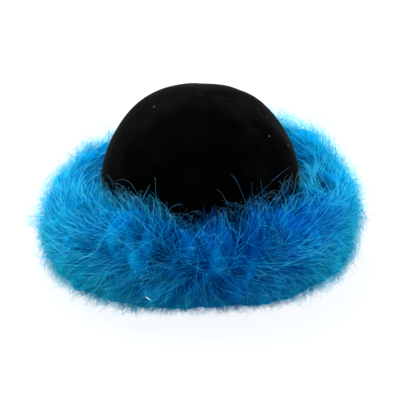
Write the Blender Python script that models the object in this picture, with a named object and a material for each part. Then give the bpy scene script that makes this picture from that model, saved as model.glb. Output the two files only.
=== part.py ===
"""A toque: a velvet crown of four panels, with a marabou boa sewn round its rim.

Metres, +Z up. The front faces -Y and the hat stands on the plane z = 0, with the axis of the
crown on the Z axis. Azimuth is measured anticlockwise from +X, seen from above: 0 is the
wearer's side at the right of the picture, 90 the back, 180 the left and 270 the front.

The crown is cut as such caps are: four equal gores that meet at the top, each a curved shell.
The boa is one solid: the mass of down on its cord, with the locks of down fused to it.
"""

import math

import bmesh
import bpy
import numpy as np

MM = 0.001

# The crown
HEAD_RADIUS = 91.5 * MM  # inside, for a head of 57.5 cm
CROWN_WALL = 2.5 * MM  # velvet with its stiffened base
RIM_HEIGHT = 14.0 * MM  # lower edge of the velvet above the table
DOME_HEIGHT = 72.5 * MM  # where the straight side turns into the dome
DOME_RISE = 94.0 * MM  # from there to the top
PANEL_CROWN = 1.2 * MM  # how far the middle of a panel stands out, and a seam lies in
SEAM_GROOVE = 0.7 * MM  # the narrow valley where two panels are stitched
PIECE_GAP = 0.3 * MM  # clear space between neighbouring panels
TRIM_GAP = 0.5 * MM  # clear space between the crown and the boa
DENT_DEPTH = 1.0 * MM
SIDE_ROWS = 3
DOME_ROWS = 12
# Where the columns of a panel lie, as a share of its width: close together near the seams
PANEL_COLUMNS = np.array(
    [0.0, 0.025, 0.08, 0.16, 0.26, 0.38, 0.5, 0.62, 0.74, 0.84, 0.92, 0.975, 1.0]
)

PANELS = [
    # name, first azimuth
    ("crown_panel_back_right", 0.0),
    ("crown_panel_back_left", 90.0),
    ("crown_panel_front_left", 180.0),
    ("crown_panel_front_right", 270.0),
]

# Soft dents and folds of the velvet. Elevation is the angle above the dome's centre.
DENTS = [
    # azimuth, elevation, half width across, half width up, depth (share, negative stands out)
    (306.0, 62.0, 16.0, 7.0, 0.9),
    (338.0, 52.0, 9.0, 12.0, -0.8),
    (322.0, 40.0, 12.0, 16.0, 0.6),
    (352.0, 12.0, 24.0, 18.0, -1.0),
    (222.0, 48.0, 26.0, 14.0, -0.5),
    (250.0, 24.0, 18.0, 16.0, 0.5),
    (60.0, 34.0, 20.0, 16.0, -0.6),
    (140.0, 36.0, 20.0, 18.0, 0.5),
]

# The boa
TRIM_REACH = 150.0 * MM  # how far the down stands from the crown's axis
TRIM_CREST = 90.0 * MM  # its greatest height
TRIM_BELLY = 40.0 * MM  # the height where it is widest
BELOW_TABLE = 12.0 * MM  # how far the cutting tools reach past the table

# How full the boa is round the hat, as shares of the three sizes above. Skirt is how far out
# it still stands near the table, as a share of its reach from the crown.
FULLNESS = [
    # azimuth, reach, crest, belly, skirt
    (0.0, 1.02, 1.02, 1.15, 0.82),
    (30.0, 1.05, 1.11, 1.25, 0.82),
    (60.0, 1.04, 1.15, 1.25, 0.78),
    (90.0, 0.96, 1.02, 1.08, 0.78),
    (120.0, 0.975, 0.90, 1.00, 0.78),
    (150.0, 1.00, 0.89, 0.98, 0.82),
    (180.0, 1.02, 0.94, 0.95, 0.86),
    (210.0, 1.04, 1.02, 0.83, 0.94),
    (240.0, 1.00, 1.10, 0.88, 0.82),
    (270.0, 0.95, 1.03, 0.95, 0.62),
    (300.0, 0.98, 1.08, 0.93, 0.74),
    (330.0, 1.025, 1.045, 0.95, 0.86),
]

# One cross-section of the down. Out runs from the crown's wall (0) to the reach (1), and up
# from the table (0) through the belly (1) to the crest (2). Skirt is how much of out is
# drawn in near the table. The foot is cut flat at z = 0.
SECTION = [
    # place, out, up, skirt
    ("inside the crown, below", -0.16, -0.10, 0.0),
    ("inside the crown, middle", -0.16, 0.80, 0.0),
    ("inside the crown, above", -0.16, 1.72, 0.0),
    ("against the velvet", 0.05, 1.98, 0.0),
    ("crest", 0.22, 2.00, 0.0),
    ("upper shoulder", 0.48, 1.87, 0.0),
    ("lower shoulder", 0.75, 1.58, 0.0),
    ("upper side", 0.93, 1.24, 0.0),
    ("belly", 1.00, 0.92, 0.0),
    ("lower side", 1.00, 0.56, 0.4),
    ("skirt", 1.00, 0.22, 0.9),
    ("foot, outside", 0.82, -0.06, 1.0),
    ("foot, inside", 0.10, -0.12, 0.0),
]
BODY_SHARE = 0.76  # the solid down fills this share of the reach, and locks the rest
BODY_CREST_SHARE = 0.90
BODY_COLUMNS = 48
CORD_OUT = 0.30  # where the boa's cord lies, as a share of the reach, at the belly's height
LUMP = 1.6 * MM

# Rows of locks round the boa. Angle is the direction in the cross-section in which a lock
# leaves the down: 0 straight out, 90 straight up. Sweep is how far the tip turns on round the
# cross-section, and lean how far it swings round the hat.
LOCK_WIDTH = 28.0 * MM
LOCK_LEAN = 20.0 * MM
LOCK_ROWS = [
    # angle, how many, sweep (degrees), width (share), lean (share)
    (80.0, 17, 18.0, 0.86, 0.65),
    (54.0, 17, 20.0, 1.00, -0.95),
    (28.0, 18, 21.0, 1.07, 1.00),
    (4.0, 18, 10.0, 1.04, -1.05),
    (-16.0, 17, -14.0, 0.96, 0.95),
    (-38.0, 16, -12.0, 0.79, -0.70),
]
LOCK_SIDES = 5
LOCK_STATIONS = np.array([0.0, 0.28, 0.55, 0.78, 0.93])  # rings of points, before the tip
LOCK_ROOT = 9.0 * MM  # how deep a lock is set into the down
LOCK_FLATNESS = 0.5
LOCK_SEED = 11

# Real finishes: name, colour (sRGB), roughness
FINISHES = {
    "velvet": ((7, 8, 9), 0.85),
    "marabou": ((17, 110, 170), 0.9),
}


def linear(channel):
    """A linear value for one 0 to 255 sRGB channel."""
    share = channel / 255.0
    return share / 12.92 if share <= 0.04045 else ((share + 0.055) / 1.055) ** 2.4


def finish(name):
    """A Principled material of its own for one object."""
    (red, green, blue), roughness = FINISHES[name]
    made = bpy.data.materials.new(name)
    made.use_nodes = True
    shader = made.node_tree.nodes["Principled BSDF"]
    shader.inputs["Base Color"].default_value = (
        linear(red),
        linear(green),
        linear(blue),
        1.0,
    )
    shader.inputs["Roughness"].default_value = roughness
    return made


def volume(points, faces):
    """Signed volume inside faces of three or four corners."""
    total = 0.0
    for face in faces:
        for i in range(1, len(face) - 1):
            a, b, c = points[face[0]], points[face[i]], points[face[i + 1]]
            total += np.dot(a, np.cross(b, c)) / 6.0
    return total


def solid(name, points, faces, finish_name=None):
    """An object with one closed mesh whose faces look outwards."""
    if volume(points, faces) < 0:
        faces = [tuple(reversed(face)) for face in faces]
    mesh = bpy.data.meshes.new(name)
    mesh.from_pydata([tuple(p) for p in points], [], faces)
    mesh.update()
    made = bpy.data.objects.new(name, mesh)
    bpy.context.scene.collection.objects.link(made)
    if finish_name:
        mesh.materials.append(finish(finish_name))
    return made


def dent(azimuth, elevation):
    """How far the velvet lies in (m) at a direction, from the table of dents."""
    total = 0.0
    for middle, height, across, up, depth in DENTS:
        turn = (azimuth - middle + 180.0) % 360.0 - 180.0
        total += depth * math.exp(-((turn / across) ** 2) - ((elevation - height) / up) ** 2)
    return total * DENT_DEPTH


def crown_row(row):
    """(elevation in degrees, height below the dome) of one row, from the rim to the top."""
    if row <= SIDE_ROWS:
        share = row / SIDE_ROWS
        return 0.0, (DOME_HEIGHT - RIM_HEIGHT) * (1.0 - share)
    return 90.0 * (row - SIDE_ROWS) / DOME_ROWS, 0.0


def crown_point(azimuth, row, inset):
    """A point of the crown: inset is 0 on the velvet and the wall's thickness on the inside."""
    elevation, below = crown_row(row)
    from_seam = azimuth % 90.0
    fade = min(1.0, (90.0 - elevation) / 24.0)
    swell = -PANEL_CROWN * math.cos(math.radians(4.0 * from_seam))
    if min(from_seam, 90.0 - from_seam) < 1.0:
        swell -= SEAM_GROOVE
    radius = HEAD_RADIUS + CROWN_WALL - inset + fade * swell - fade * dent(azimuth, elevation)
    rise = DOME_RISE - inset + fade * swell - fade * dent(azimuth, elevation)
    a, e = math.radians(azimuth), math.radians(elevation)
    return np.array(
        [
            radius * math.cos(e) * math.cos(a),
            radius * math.cos(e) * math.sin(a),
            DOME_HEIGHT - below + rise * math.sin(e),
        ]
    )


def crown_panel(name, first):
    """One gore: an outer and an inner skin, joined along the rim and both seams.

    The skins have a grid of points from the rim up to the last row below the top, and one
    point each at the top. The whole gore then moves out by half the seam's gap."""
    columns = len(PANEL_COLUMNS)
    rows = SIDE_ROWS + DOME_ROWS
    points, faces = [], []
    for inset in (0.0, CROWN_WALL):
        for row in range(rows):
            for share in PANEL_COLUMNS:
                points.append(crown_point(first + 90.0 * share, row, inset))
        points.append(crown_point(first + 45.0, rows, inset))
    skin = rows * columns + 1

    def at(side, row, column):
        return side * skin + (row * columns + column if row < rows else rows * columns)

    for side in (0, 1):
        for row in range(rows - 1):
            for column in range(columns - 1):
                a, b = at(side, row, column), at(side, row, column + 1)
                c, d = at(side, row + 1, column + 1), at(side, row + 1, column)
                faces.append((a, b, c, d) if side == 0 else (d, c, b, a))
        for column in range(columns - 1):
            a, b, top = (
                at(side, rows - 1, column),
                at(side, rows - 1, column + 1),
                at(side, rows, 0),
            )
            faces.append((a, b, top) if side == 0 else (top, b, a))
    for column in range(columns - 1):
        faces.append((at(1, 0, column), at(1, 0, column + 1), at(0, 0, column + 1), at(0, 0, column)))
    for row in range(rows):
        last = columns - 1
        faces.append((at(0, row, 0), at(0, row + 1, 0), at(1, row + 1, 0), at(1, row, 0)))
        faces.append((at(0, row, last), at(1, row, last), at(1, row + 1, last), at(0, row + 1, last)))
    middle = math.radians(first + 45.0)
    shift = PIECE_GAP / 2.0 * np.array([np.sign(math.cos(middle)), np.sign(math.sin(middle)), 0.0])
    return solid(name, [p + shift for p in points], faces, "velvet")


def crown_place():
    """The crown's outside with the gap round it, closed below the table: it is cut from the boa."""
    azimuths = [start + 90.0 * share for _, start in PANELS for share in PANEL_COLUMNS[:-1]]
    rows = list(range(SIDE_ROWS + DOME_ROWS))
    points, faces = [], []
    for row in [-1] + rows:
        for azimuth in azimuths:
            point = crown_point(azimuth, max(row, 0), -TRIM_GAP)
            if row < 0:
                point[2] = -BELOW_TABLE
            points.append(point)
    columns = len(azimuths)
    for row in range(len(rows)):
        for column in range(columns):
            after = (column + 1) % columns
            faces.append(
                (
                    row * columns + column,
                    row * columns + after,
                    (row + 1) * columns + after,
                    (row + 1) * columns + column,
                )
            )
    foot, top = len(points), len(points) + 1
    points.append(np.array([0.0, 0.0, -BELOW_TABLE]))
    points.append(np.array([0.0, 0.0, DOME_HEIGHT + DOME_RISE + 2.0 * TRIM_GAP]))
    last = len(rows) * columns
    for column in range(columns):
        after = (column + 1) % columns
        faces.append((after, column, foot))
        faces.append((last + column, last + after, top))
    return solid("crown_place", points, faces)


def fullness(azimuth):
    """(reach, crest, belly, skirt) at an azimuth: a smooth closed curve through the rows."""
    step = 360.0 / len(FULLNESS)
    place = (azimuth % 360.0) / step
    row, share = int(place), place - int(place)
    around = [FULLNESS[(row + k) % len(FULLNESS)] for k in (-1, 0, 1, 2)]
    weights = (
        -0.5 * share + share**2 - 0.5 * share**3,
        1.0 - 2.5 * share**2 + 1.5 * share**3,
        0.5 * share + 2.0 * share**2 - 1.5 * share**3,
        -0.5 * share**2 + 0.5 * share**3,
    )
    reach, crest, belly, skirt = (
        sum(w * line[k] for w, line in zip(weights, around)) for k in (1, 2, 3, 4)
    )
    return reach * TRIM_REACH, crest * TRIM_CREST, belly * TRIM_BELLY, skirt


def section_line(azimuth, share, crest_share):
    """The down's cross-section at an azimuth as (radius, height) rows, at a share of its size."""
    reach, crest, belly, skirt = fullness(azimuth)
    wall = HEAD_RADIUS + CROWN_WALL
    line = []
    for _, out, up, drawn in SECTION:
        out *= 1.0 - drawn * (1.0 - skirt)
        radius = wall + out * (reach - wall) * (share if out > 0 else 1.0)
        height = belly * up if up < 1.0 else belly + (up - 1.0) * (crest * crest_share - belly)
        line.append((radius, height))
    return np.array(line)


def axes_at(azimuth):
    """Unit vectors outwards, round the hat and up, at an azimuth."""
    a = math.radians(azimuth)
    return (
        np.array([math.cos(a), math.sin(a), 0.0]),
        np.array([-math.sin(a), math.cos(a), 0.0]),
        np.array([0.0, 0.0, 1.0]),
    )


def boa_body():
    """The mass of down: the section carried round the crown, with soft lumps on it."""
    across = len(SECTION)
    points, faces = [], []
    for column in range(BODY_COLUMNS):
        azimuth = 360.0 * column / BODY_COLUMNS
        out, _, up = axes_at(azimuth)
        turn = math.radians(azimuth)
        for k, (radius, height) in enumerate(section_line(azimuth, BODY_SHARE, BODY_CREST_SHARE)):
            swell = 0.0
            if SECTION[k][1] > 0.15 and SECTION[k][2] > 0.1:
                swell = LUMP * math.sin(9.0 * turn + 2.1 * k)
                swell += 0.6 * LUMP * math.sin(17.0 * turn - 1.3 * k)
            points.append((radius + swell) * out + (height + 0.4 * swell) * up)
    for column in range(BODY_COLUMNS):
        after = (column + 1) % BODY_COLUMNS
        for k in range(across):
            n = (k + 1) % across
            faces.append(
                (column * across + k, after * across + k, after * across + n, column * across + n)
            )
    return solid("marabou_trim", points, faces, "marabou")


def cord_at(azimuth):
    """Radius and height of the boa's cord."""
    reach, _, belly, _ = fullness(azimuth)
    wall = HEAD_RADIUS + CROWN_WALL
    return np.array([wall + CORD_OUT * (reach - wall), belly])


def depth_at(azimuth, angle, share, crest_share):
    """How far the cross-section's edge is from the cord, in a direction of the section."""
    cord = cord_at(azimuth)
    ray = np.array([math.cos(math.radians(angle)), math.sin(math.radians(angle))])
    line = section_line(azimuth, share, crest_share) - cord
    best = 0.0
    for a, b in zip(line, np.roll(line, -1, axis=0)):
        along = b - a
        cross = ray[0] * along[1] - ray[1] * along[0]
        if abs(cross) < 1e-12:
            continue
        far = (a[0] * along[1] - a[1] * along[0]) / cross
        where = (a[0] * ray[1] - a[1] * ray[0]) / cross
        if far > best and 0.0 <= where <= 1.0:
            best = far
    return best


def section_place(azimuth, angle, distance):
    """A point at a distance from the cord, in a direction of the section."""
    out, _, up = axes_at(azimuth)
    radius, height = cord_at(azimuth)
    angle = math.radians(angle)
    return (radius + distance * math.cos(angle)) * out + (
        height + distance * math.sin(angle)
    ) * up


def lock_row(angle, count, sweep, width, lean, start, generator):
    """One row of locks in one mesh. Each is a curved, tapering, flattened strand.

    It starts inside the down, rises as a quadratic curve away from the cord, bends round the
    section and along the hat, and ends in a point at the full reach of the fur."""
    points, faces = [], []
    for n in range(count):
        azimuth = (n + start + 0.2 * generator.uniform(-1, 1)) * 360.0 / count
        tilt = angle + generator.uniform(-4, 4)
        size = generator.uniform(0.85, 1.15)
        swing = lean * LOCK_LEAN * generator.uniform(0.7, 1.3)
        body = depth_at(azimuth, tilt, BODY_SHARE, BODY_CREST_SHARE)
        end = tilt + sweep * size
        full = depth_at(azimuth, end, 1.0, 1.0)
        out, side, up = axes_at(azimuth)
        heading = math.cos(math.radians(tilt)) * out + math.sin(math.radians(tilt)) * up
        root = section_place(azimuth, tilt - 0.3 * sweep, body - LOCK_ROOT) - 0.3 * swing * side
        bend = section_place(azimuth, tilt + 0.35 * sweep, body + 0.8 * (full - body))
        bend += 0.15 * swing * side
        tip = section_place(azimuth, end, full) + swing * side
        first = len(points)
        for t in LOCK_STATIONS:
            middle = (1 - t) ** 2 * root + 2 * t * (1 - t) * bend + t**2 * tip
            along = 2 * (1 - t) * (bend - root) + 2 * t * (tip - bend)
            along /= np.linalg.norm(along)
            wide = side - np.dot(side, along) * along
            wide /= np.linalg.norm(wide)
            thick = np.cross(along, wide)
            half = 0.5 * width * LOCK_WIDTH * size * min(1.0, 0.6 + 1.4 * t) * (1.0 - t**2.2) ** 0.8
            for k in range(LOCK_SIDES):
                turn = 2 * math.pi * (k + 0.25) / LOCK_SIDES
                points.append(
                    middle
                    + half * math.cos(turn) * wide
                    + LOCK_FLATNESS * half * math.sin(turn) * thick
                )
        points.append(tip)
        rings = len(LOCK_STATIONS)
        for ring in range(rings - 1):
            for k in range(LOCK_SIDES):
                j = (k + 1) % LOCK_SIDES
                base = first + ring * LOCK_SIDES
                faces.append((base + k, base + j, base + LOCK_SIDES + j, base + LOCK_SIDES + k))
        base = first + (rings - 1) * LOCK_SIDES
        for k in range(LOCK_SIDES):
            faces.append((base + k, base + (k + 1) % LOCK_SIDES, len(points) - 1))
        faces.append(tuple(first + k for k in reversed(range(LOCK_SIDES))))
    return solid("locks", points, faces)


def combine(target, tool, operation):
    """Joins or cuts two closed meshes, and removes the tool."""
    step = target.modifiers.new(operation.lower(), "BOOLEAN")
    step.operation = operation
    step.object = tool
    step.solver = "MANIFOLD"
    bpy.context.view_layer.update()
    evaluated = target.evaluated_get(bpy.context.evaluated_depsgraph_get())
    mesh = bpy.data.meshes.new_from_object(evaluated)
    target.modifiers.clear()
    target.data = mesh
    bpy.data.objects.remove(tool)


def keep_largest(target):
    """Drops the loose shells of a mesh but the largest: small pockets closed in by the locks."""
    shape = bmesh.new()
    shape.from_mesh(target.data)
    left = set(shape.verts)
    shells = []
    while left:
        grown = {left.pop()}
        edge = set(grown)
        while edge:
            edge = {e.other_vert(v) for v in edge for e in v.link_edges} - grown
            grown |= edge
        left -= grown
        shells.append(grown)
    shells.sort(key=len)
    for shell in shells[:-1]:
        bmesh.ops.delete(shape, geom=list(shell), context="VERTS")
    shape.to_mesh(target.data)
    shape.free()


def boa():
    """The boa round the rim: down and locks joined, then the crown's place and the floor cut."""
    made = boa_body()
    generator = np.random.default_rng(LOCK_SEED)
    for n, row in enumerate(LOCK_ROWS):
        combine(made, lock_row(*row, 0.5 * (n % 2), generator), "UNION")
    combine(made, crown_place(), "DIFFERENCE")
    wide, deep = 1.5 * TRIM_REACH, 3.0 * BELOW_TABLE
    corners = [
        (x, y, z) for z in (-deep, 0.0) for y in (-wide, wide) for x in (-wide, wide)
    ]
    floor = solid(
        "below_floor",
        [np.array(c) for c in corners],
        [(0, 2, 3, 1), (4, 5, 7, 6), (0, 1, 5, 4), (2, 6, 7, 3), (0, 4, 6, 2), (1, 3, 7, 5)],
    )
    combine(made, floor, "DIFFERENCE")
    keep_largest(made)
    return made


for old in list(bpy.data.objects):
    bpy.data.objects.remove(old)
for panel_name, first_azimuth in PANELS:
    crown_panel(panel_name, first_azimuth)
boa()
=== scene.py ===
# %% [markdown]
# A velvet toque trimmed with marabou
#
# Two things make this hat: a plain dome of black velvet, and a thick ring of dyed marabou, the
# soft down of a turkey, whose loose barbs stand out from a cord in all directions.
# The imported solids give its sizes. Here each of them gets a finely made piece of its own, and
# every piece is a surface worked out with numpy.

import math

import bmesh
import bpy
import numpy as np
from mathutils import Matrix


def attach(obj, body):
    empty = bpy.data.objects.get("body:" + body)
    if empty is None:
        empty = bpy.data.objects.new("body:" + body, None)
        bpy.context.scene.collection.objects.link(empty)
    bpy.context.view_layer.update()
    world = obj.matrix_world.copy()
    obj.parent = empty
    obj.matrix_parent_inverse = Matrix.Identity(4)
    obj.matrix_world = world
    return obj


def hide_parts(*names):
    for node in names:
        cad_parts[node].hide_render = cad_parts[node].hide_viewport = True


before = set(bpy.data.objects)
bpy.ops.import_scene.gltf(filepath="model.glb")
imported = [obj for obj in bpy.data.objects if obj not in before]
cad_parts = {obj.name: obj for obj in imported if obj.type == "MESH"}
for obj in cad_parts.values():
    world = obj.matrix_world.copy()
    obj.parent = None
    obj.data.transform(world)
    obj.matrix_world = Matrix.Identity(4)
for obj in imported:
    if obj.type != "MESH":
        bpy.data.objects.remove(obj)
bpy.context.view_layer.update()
MM = 0.001
print("solids:", ", ".join(sorted(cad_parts)))

# %% [markdown]
# Helpers for meshes
#
# A surface here is a grid of points, as one array, and its faces are pairs of neighbours on
# the grid. One helper turns points and faces into an object that rides on the hat.
# Shading is smooth, so that a curve needs few faces.


# %% Turn arrays into pieces
TRIANGLES = []


def piece(name, points, faces, uv=None):
    """A mesh object from an array of points and a list of arrays of faces.

    Each array of faces has a fixed number of corners. uv is one array of places on a colour
    map, one row for each corner of each face, in the same order."""
    mesh = bpy.data.meshes.new(name)
    corners = np.concatenate([f.ravel() for f in faces]).astype(np.int32)
    sizes = np.concatenate([np.full(len(f), f.shape[1], np.int32) for f in faces])
    starts = np.concatenate([[0], np.cumsum(sizes)[:-1]]).astype(np.int32)
    mesh.vertices.add(len(points))
    mesh.vertices.foreach_set("co", points.astype(np.float32).ravel())
    mesh.loops.add(len(corners))
    mesh.loops.foreach_set("vertex_index", corners)
    mesh.polygons.add(len(sizes))
    mesh.polygons.foreach_set("loop_start", starts)
    mesh.polygons.foreach_set("use_smooth", np.ones(len(sizes), bool))
    if uv is not None:
        layer = mesh.uv_layers.new(name="OFBake")
        layer.uv.foreach_set("vector", uv.astype(np.float32).ravel())
    mesh.update(calc_edges=True)
    made = bpy.data.objects.new(name, mesh)
    bpy.context.scene.collection.objects.link(made)
    TRIANGLES.append(int((sizes - 2).sum()))
    print(f"{name}: {TRIANGLES[-1]} triangles")
    return made


def grid_faces(rows, columns, wrap_rows=False, wrap_columns=False):
    """Four-cornered faces between neighbours of a rows by columns grid, row by row."""
    r = np.arange(rows if wrap_rows else rows - 1)
    c = np.arange(columns if wrap_columns else columns - 1)
    r, c = (part.ravel() for part in np.meshgrid(r, c, indexing="ij"))
    after_c = (c + 1) % columns
    here, below = r * columns, (r + 1) % rows * columns
    return np.stack([here + c, here + after_c, below + after_c, below + c], 1)


def close(made):
    """Merges points that lie on each other, such as a pole's, and turns the faces outwards."""
    shape = bmesh.new()
    shape.from_mesh(made.data)
    bmesh.ops.remove_doubles(shape, verts=shape.verts, dist=0.002 * MM)
    bmesh.ops.recalc_face_normals(shape, faces=shape.faces)
    if shape.calc_volume(signed=True) < 0:
        bmesh.ops.reverse_faces(shape, faces=shape.faces)
    shape.to_mesh(made.data)
    shape.free()


# %% [markdown]
# Helpers for numbers
#
# Soft forms and soft changes of tint all come from two curves: a bell, and a straight rise
# from 0 to 1 that stays level before and after. Places round the hat are azimuths, in degrees
# from the right, so one more helper takes the short way round between two of them.


# %% The bell, the rise and the short way round
def bell(x):
    """One at zero, and less on both sides: e to the power of minus x squared."""
    return np.exp(-(x**2))


def gone(value, start, end):
    """The share of the way from start to end that a value has gone, held between 0 and 1."""
    return np.clip((value - start) / (end - start), 0.0, 1.0)


def away(azimuth, centre):
    """Degrees from each centre, between minus and plus 180."""
    return (azimuth[..., None] - centre + 180.0) % 360.0 - 180.0


# %% [markdown]
# Helpers for materials
#
# Colours are written as sRGB hex values, and turned into the linear values that the renderer
# works in. One helper adds a node, sets it and wires it.


# %% Add a node, and read a colour
def linear(hex_colour):
    """Red, green, blue and alpha in linear light, from an sRGB colour such as #1a2b3c."""
    channels = [int(hex_colour[k : k + 2], 16) / 255 for k in (1, 3, 5)]
    return [c / 12.92 if c <= 0.04045 else ((c + 0.055) / 1.055) ** 2.4 for c in channels] + [1.0]


def add(tree, kind, settings=None, **links):
    """A node of a kind, with its settings, and links or values for its sockets by name.

    A settings key is a property of the node. A link key is a socket's name with _ for a space,
    and its value is a number, a colour, or a (node, output name) pair."""
    node = tree.nodes.new(kind)
    for key, value in (settings or {}).items():
        setattr(node, key, value)
    for key, value in links.items():
        wanted = key.replace("_", " ")
        socket = next(s for s in node.inputs if s.name == wanted and s.enabled)
        if isinstance(value, tuple) and hasattr(value[0], "outputs"):
            tree.links.new(value[0].outputs[value[1]], socket)
        else:
            socket.default_value = value
    return node


def material(name):
    """An empty material and its node tree."""
    made = bpy.data.materials.new(name)
    made.use_nodes = True
    made.node_tree.nodes.clear()
    return made, made.node_tree


def colour_ramp(tree, stops, **links):
    """A ramp of colours, from stops that are pairs of a position and a colour."""
    ramp = add(tree, "ShaderNodeValToRGB", **links)
    elements = ramp.color_ramp.elements
    for k, (position, colour) in enumerate(stops):
        stop = elements[k] if k < 2 else elements.new(position)
        stop.position, stop.color = position, linear(colour)
    return ramp


# %% [markdown]
# The crown
#
# The dome is cut as caps are: four equal gores of velvet on a stiffened base, sewn together
# along seams at the front, the back and both sides. Each gore stands out a little in its
# middle and sinks softly towards its neighbours, and the seams are so shallow that the pile
# nearly hides them. It could be one ball, but then the seams would only be painted. Here each
# gore is a closed shell, from one formula, and a table adds the soft dents of a worn cap.

# %% Sizes of the crown
CROWN_RADIUS = 94.0 * MM
CROWN_WALL = 2.5 * MM
RIM_HEIGHT = 14.0 * MM
DOME_HEIGHT = 72.5 * MM
DOME_RISE = 94.0 * MM
PANEL_CROWN = 1.2 * MM
SEAM_DEPTH = 0.10 * MM
SEAM_WIDTH = 1.0 * MM
SEAM_LIP = 0.02 * MM
LIP_PLACE = 2.8 * MM
LIP_WIDTH = 1.6 * MM
SEAM_OVERLAP = 0.1 * MM
TOP_BUMP = 0.35 * MM
TOP_BUMP_RADIUS = 6.0 * MM
HEIGHT_OF_A_DEGREE = 1.6 * MM

PANELS = [
    # piece, solid that it stands for, first azimuth
    ("velvet_back_right", "crown_panel_back_right", 0.0),
    ("velvet_back_left", "crown_panel_back_left", 90.0),
    ("velvet_front_left", "crown_panel_front_left", 180.0),
    ("velvet_front_right", "crown_panel_front_right", 270.0),
]

DENTS = np.array(
    [
        # azimuth, elevation, half width across, half width up, depth (mm, negative stands out)
        (352.0, 12.0, 24.0, 18.0, -1.0),
        (250.0, 24.0, 18.0, 16.0, 0.5),
        (60.0, 34.0, 20.0, 16.0, -0.6),
        (164.0, 24.0, 16.0, 12.0, 0.5),
        (147.0, 44.0, 16.0, 10.0, -0.5),
        (33.0, 46.0, 13.0, 9.0, -0.6),
        (0.5, 57.0, 7.0, 2.2, -1.3),
        (3.0, 52.5, 7.0, 2.2, 0.8),
        (4.0, 77.0, 8.0, 3.0, 0.7),
        (352.0, 38.0, 7.0, 13.0, -0.9),
        (318.0, 52.0, 5.0, 15.0, -0.9),
        (330.0, 50.0, 6.0, 14.0, 0.6),
        (215.0, 66.0, 14.0, 5.0, -0.8),
        (219.0, 48.0, 7.0, 9.0, -0.9),
        (235.0, 40.0, 10.0, 14.0, 0.5),
        (100.0, 60.0, 12.0, 5.0, -0.7),
        (48.0, 56.0, 6.0, 12.0, 0.6),
    ]
)


# %% One gore of velvet
def crown_skin(azimuth, elevation, below, inset):
    """Points of the crown at azimuth and elevation (degrees), below the dome by a height.

    The radius is the crown's, less the inset, plus a swell of minus cosine four times the
    azimuth, which is highest in the middle of a gore, less a narrow valley along each seam
    with a soft lip beside it, less the dents. All of it fades out towards the top, where a
    low bump stands. On the upright side, height below the dome counts as degrees."""
    from_seam = np.abs((azimuth + 45.0) % 90.0 - 45.0)
    arc = np.radians(from_seam) * CROWN_RADIUS * np.maximum(np.cos(np.radians(elevation)), 0.05)
    uneven = 0.75 + 0.25 * np.sin(0.2 * elevation + 0.1 * azimuth)
    valley = SEAM_DEPTH * bell(arc / SEAM_WIDTH) * uneven
    lip = SEAM_LIP * bell((arc - LIP_PLACE) / LIP_WIDTH)
    lip = lip * (1.0 + 0.5 * np.sin(elevation * 1.35 + azimuth))
    swell = -PANEL_CROWN * np.cos(np.radians(4.0 * azimuth)) + lip
    turn = away(azimuth, DENTS[:, 0])
    high = elevation[..., None] - DENTS[:, 1] - below[..., None] / HEIGHT_OF_A_DEGREE
    dents = DENTS[:, 4] * MM * np.exp(-((turn / DENTS[:, 2]) ** 2) - (high / DENTS[:, 3]) ** 2)
    fade = gone(elevation, 90.0, 50.0)
    fade = fade * fade * (3.0 - 2.0 * fade)
    valley = valley * gone(elevation, 90.0, 87.0)
    out = fade * swell - np.minimum(1.0, 3.0 * fade) * dents.sum(-1) - valley
    radius, rise = CROWN_RADIUS - inset + out, DOME_RISE - inset + out
    a, e = np.radians(azimuth), np.radians(elevation)
    flat = radius * np.cos(e)
    height = DOME_HEIGHT - below + rise * np.sin(e)
    height = height + TOP_BUMP * bell(flat / TOP_BUMP_RADIUS)
    return np.stack([flat * np.cos(a), flat * np.sin(a), height], -1)


def gore(name, first, columns=36, side_rows=7, dome_rows=40, crowding=0.86):
    """A closed shell: outer and inner skins over a quarter turn, joined along seams and rim.

    Columns crowd towards the seams by a sine, and the rows go up the side and over the dome."""
    t = np.linspace(0.0, 1.0, columns)
    azimuth = first + 90.0 * (t - crowding * np.sin(2 * np.pi * t) / (2 * np.pi))
    side = np.linspace(DOME_HEIGHT - RIM_HEIGHT, 0.0, side_rows)
    below = np.concatenate([side, np.zeros(dome_rows)])
    up = 90.0 * np.arange(1, dome_rows + 1) / dome_rows
    elevation = np.concatenate([np.zeros(side_rows), up])
    az, el = np.meshgrid(azimuth, elevation)
    be = np.broadcast_to(below[:, None], az.shape)
    outer, inner = crown_skin(az, el, be, 0.0), crown_skin(az, el, be, CROWN_WALL)
    middle = math.radians(first + 45.0)
    shift = -0.5 * SEAM_OVERLAP * np.sign([math.cos(middle), math.sin(middle), 0.0])
    loop = np.concatenate([outer, inner[:, ::-1]], 1) + shift
    rows, around = loop.shape[:2]
    j = np.arange(columns - 1)
    rim = np.stack([j, around - 1 - j, around - 2 - j, j + 1], 1)
    made = piece(name, loop.reshape(-1, 3), [grid_faces(rows, around, wrap_columns=True), rim])
    close(made)
    return made


gores = {}
for gore_name, node, first_azimuth in PANELS:
    gores[gore_name] = gore(gore_name, first_azimuth)
    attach(gores[gore_name], "root")
    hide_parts(node)

# %% [markdown]
# Black velvet
#
# Velvet is a cloth with a dense pile that stands up from its ground, cut to about a
# millimetre. Looked at along the pile it swallows light, and at a grazing angle the tips
# catch it, so the rim of the dome looks greyer than its middle. That is what a sheen lobe
# does. The pile also lies in slightly different ways from place to place, which shows as
# soft lighter and darker clouds.


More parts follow.
